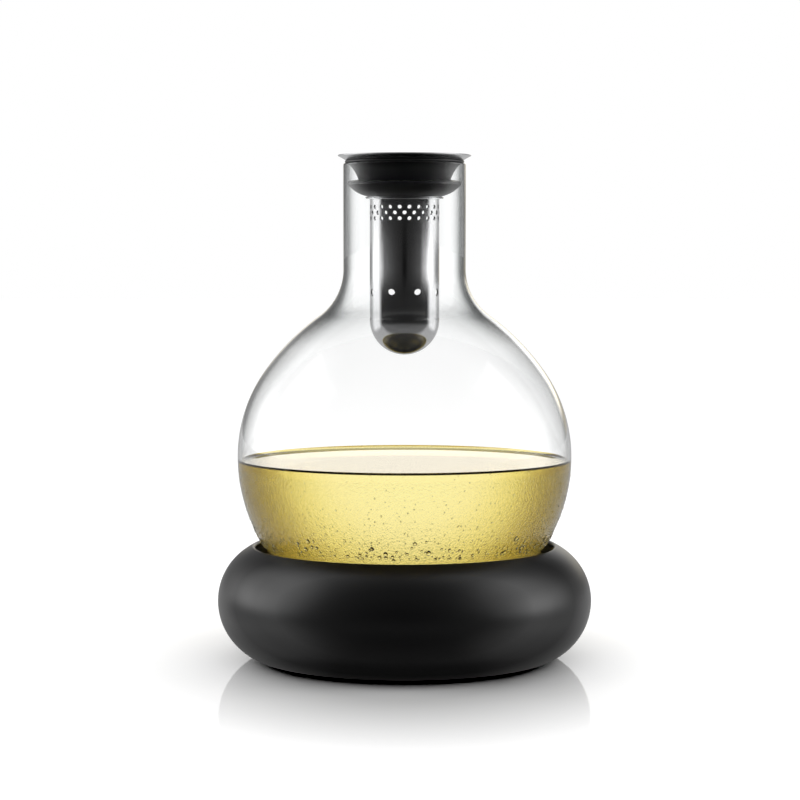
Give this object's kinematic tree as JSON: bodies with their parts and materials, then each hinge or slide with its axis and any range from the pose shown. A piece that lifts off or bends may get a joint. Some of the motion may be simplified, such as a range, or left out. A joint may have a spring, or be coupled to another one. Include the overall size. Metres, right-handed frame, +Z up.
{
  "type": "wine carafe with core tube and cooling base",
  "caption": "Globe glass carafe in a thick cooling ring base, with a steel pouring funnel, silicone stopper and perforated core tube.",
  "frame": {"origin": "on the table, in the middle of the ring base's foot", "axes": "+Z up along the axis of carafe, funnel and core tube; the part is turned about Z, so +X and +Y only tell where the rows of holes, the ribs and the screws start"},
  "size_m": [0.1652, 0.1652, 0.2222],
  "materials": {
    "soft_black": "soft-touch black",
    "moulded_black": "fine moulded texture",
    "screw_steel": "zinc plated",
    "foot_silicone": "matt silicone",
    "freezer_plastic": "moulded satin",
    "gel": "cooling gel",
    "plug_plastic": "moulded",
    "pad_silicone": "matt silicone",
    "clear_glass": "clear, mouth-blown",
    "black_silicone": "satin silicone",
    "polished_steel": "mirror-polished stainless",
    "satin_steel": "satin stainless"
  },
  "bodies": {
    "base": {"base_shell": "soft_black", "base_well": "moulded_black", "base_plate": "moulded_black", "base_screws": "screw_steel", "foot_ring": "foot_silicone"},
    "freezer": {"freezer_tray": "freezer_plastic", "freezer_dish": "freezer_plastic", "cooling_gel": "gel", "filler_plug": "plug_plastic", "rest_pad": "pad_silicone"},
    "carafe": {"carafe_glass": "clear_glass"},
    "stopper": {"stopper": "black_silicone", "pouring_funnel": "polished_steel", "throat_ring": "polished_steel"},
    "core": {"core_tube": "satin_steel", "core_seal": "black_silicone"}
  },
  "joints": [
    {"name": "freezer_lift", "type": "slide", "parent": "base", "child": "freezer", "axis": [0, 0, 1], "range_m": [0, 0.06]},
    {"name": "carafe_lift", "type": "slide", "parent": "freezer", "child": "carafe", "axis": [0, 0, 1], "range_m": [0, 0.06]},
    {"name": "stopper_lift", "type": "slide", "parent": "carafe", "child": "stopper", "axis": [0, 0, 1], "range_m": [0, 0.1]},
    {"name": "core_lift", "type": "slide", "parent": "stopper", "child": "core", "axis": [0, 0, 1], "range_m": [0, 0.1]}
  ]
}
